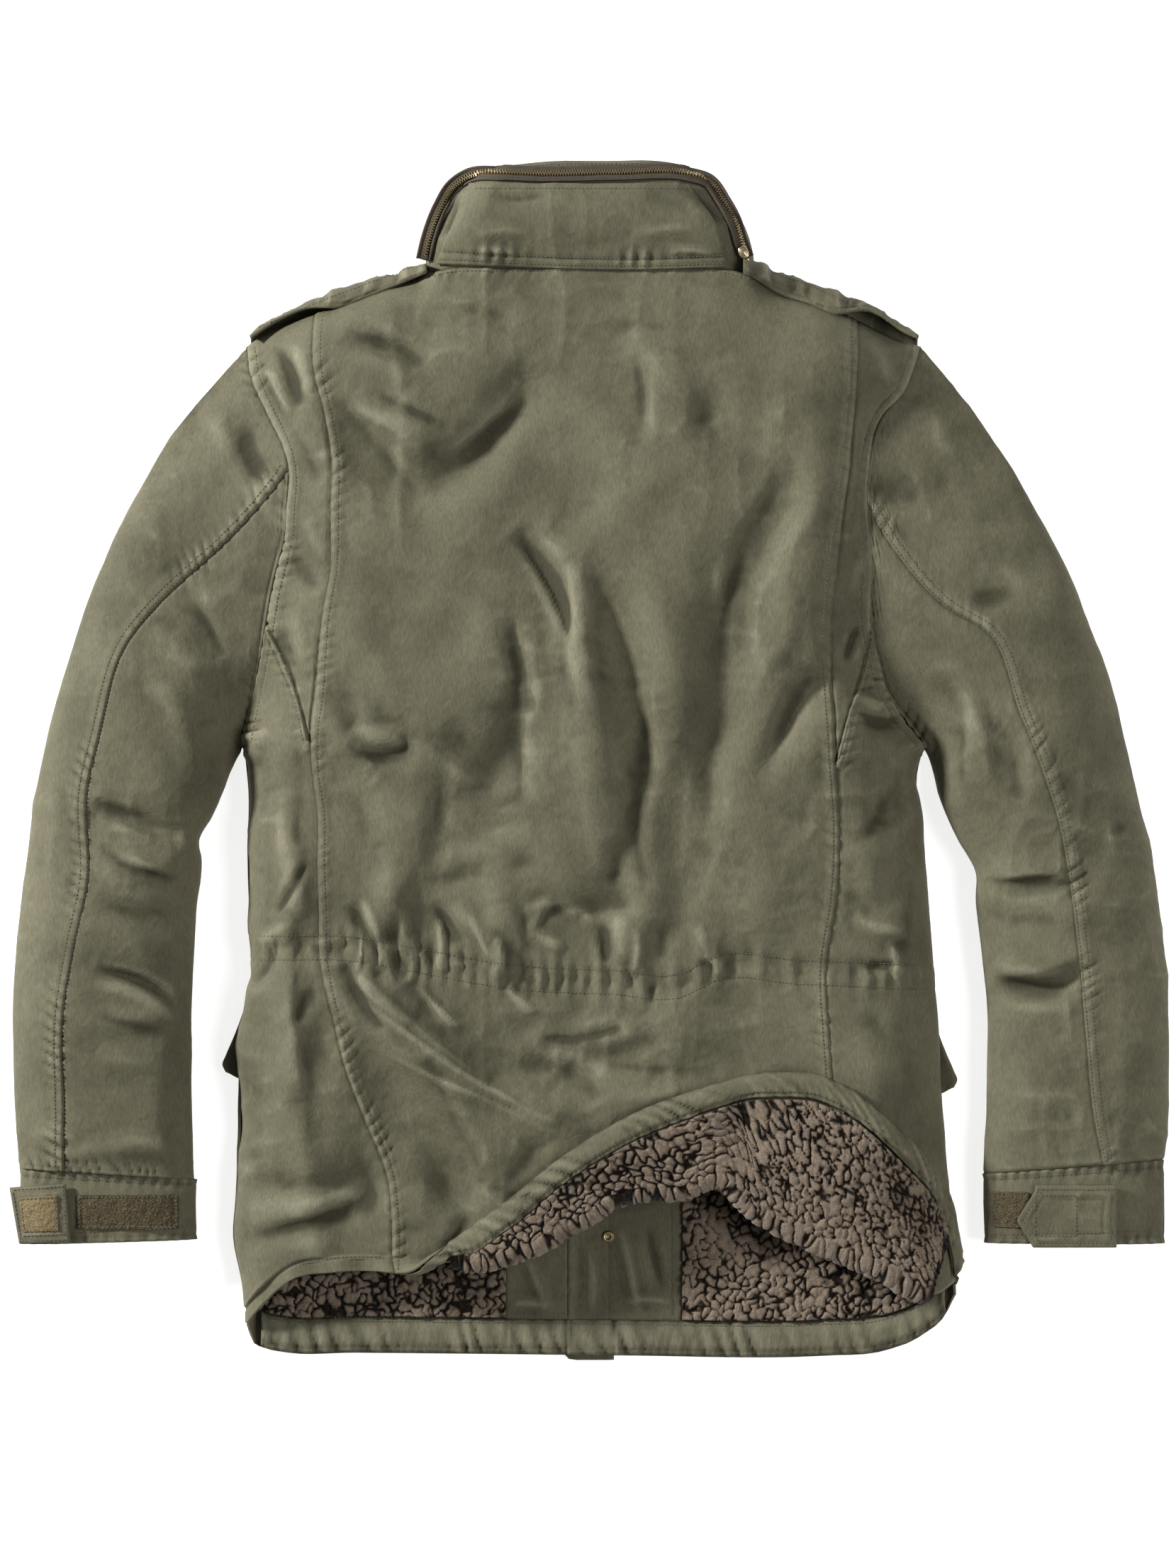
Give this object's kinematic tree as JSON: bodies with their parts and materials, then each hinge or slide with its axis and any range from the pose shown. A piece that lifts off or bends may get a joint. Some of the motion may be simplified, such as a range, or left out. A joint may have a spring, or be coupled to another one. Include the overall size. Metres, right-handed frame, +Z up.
{
  "type": "parka",
  "caption": "Hip-length hooded-collar field parka, fleece lined, laid face down with its back hem turned up to show the lining.",
  "frame": {"origin": "on the surface the garment lies on, under the middle of its bounding box", "axes": "+X to the garment's right as seen from behind, +Y from the hem to the collar, +Z up from the surface, out of the back panel"},
  "size_m": [0.8266, 0.8553, 0.072],
  "materials": {
    "shell": "washed olive cotton sateen with a soft sheen",
    "fleece": "matte curly fleece",
    "tape": "woven zip tape",
    "hook_loop": "hook-and-loop fastener",
    "brass": "aged, satin"
  },
  "bodies": {
    "parka": {"back_centre": "shell", "back_shoulder_left": "shell", "back_shoulder_right": "shell", "back_side_left": "shell", "back_side_right": "shell", "hem_binding_back": "shell", "lining_back": "fleece", "front_left": "shell", "front_right": "shell", "hem_binding_front": "shell", "lining_front_left": "fleece", "lining_front_right": "fleece", "facing_left": "shell", "facing_right": "shell", "storm_fly": "shell", "pocket_left": "shell", "pocket_right": "shell", "pocket_flap_left": "shell", "pocket_flap_right": "shell", "snap": "brass", "sleeve_outer_left": "shell", "sleeve_under_left": "shell", "sleeve_outer_right": "shell", "sleeve_under_right": "shell", "cuff_left": "shell", "cuff_right": "shell", "cuff_tab_left": "shell", "cuff_hook_left": "hook_loop", "cuff_loop_left": "hook_loop", "cuff_loop_right": "hook_loop", "cuff_tab_right": "shell", "collar_stand": "shell", "collar_zip_tape": "tape", "collar_cover": "shell", "zip_slider": "brass", "shoulder_strap_left": "shell", "shoulder_strap_right": "shell"},
    "pull": {"zip_pull": "brass"}
  },
  "joints": [
    {"name": "pull_lift", "type": "hinge", "parent": "parka", "child": "pull", "pos_m": [0.11137, 0.35715, 0.0526], "axis": [-0.8988, -0.4384, 0], "range_deg": [0, 115]}
  ]
}
